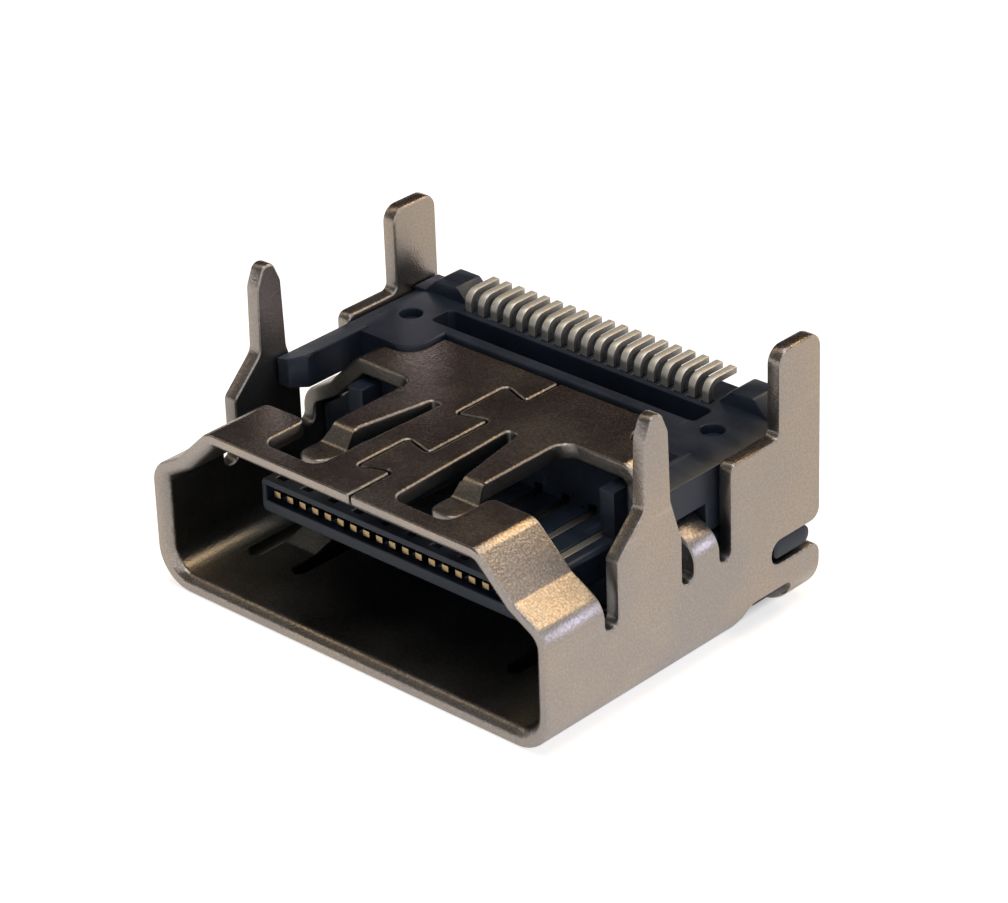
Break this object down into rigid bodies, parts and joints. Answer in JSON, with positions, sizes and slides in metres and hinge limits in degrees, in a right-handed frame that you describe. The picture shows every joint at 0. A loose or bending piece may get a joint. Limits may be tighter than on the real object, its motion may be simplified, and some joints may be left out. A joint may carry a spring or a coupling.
{
  "type": "digital video socket",
  "caption": "Surface mount digital video socket: folded metal shell with spring fingers, dovetail seam and solder legs round a moulded base whose tongue carries a row of contacts.",
  "frame": {"origin": "centre of the footprint, on the plane of the broad wall that the socket rests on", "axes": "-Y out of the mouth, where the plug leaves; +Z from the broad wall to the solder side, with its legs; +X to the right, seen from in front of the mouth"},
  "size_m": [0.015, 0.0114, 0.0084],
  "materials": {
    "shell_plate": "satin nickel plate",
    "housing_resin": "moulded, fine matt",
    "contact_metal": "tin on the feet, thin gold at the tips"
  },
  "bodies": {
    "root": {"shell": "shell_plate", "housing": "housing_resin", "contact_01": "contact_metal", "contact_02": "contact_metal", "contact_03": "contact_metal", "contact_04": "contact_metal", "contact_05": "contact_metal", "contact_06": "contact_metal", "contact_07": "contact_metal", "contact_08": "contact_metal", "contact_09": "contact_metal", "contact_10": "contact_metal", "contact_11": "contact_metal", "contact_12": "contact_metal", "contact_13": "contact_metal", "contact_14": "contact_metal", "contact_15": "contact_metal", "contact_16": "contact_metal", "contact_17": "contact_metal", "contact_18": "contact_metal", "contact_19": "contact_metal"}
  },
  "joints": []
}
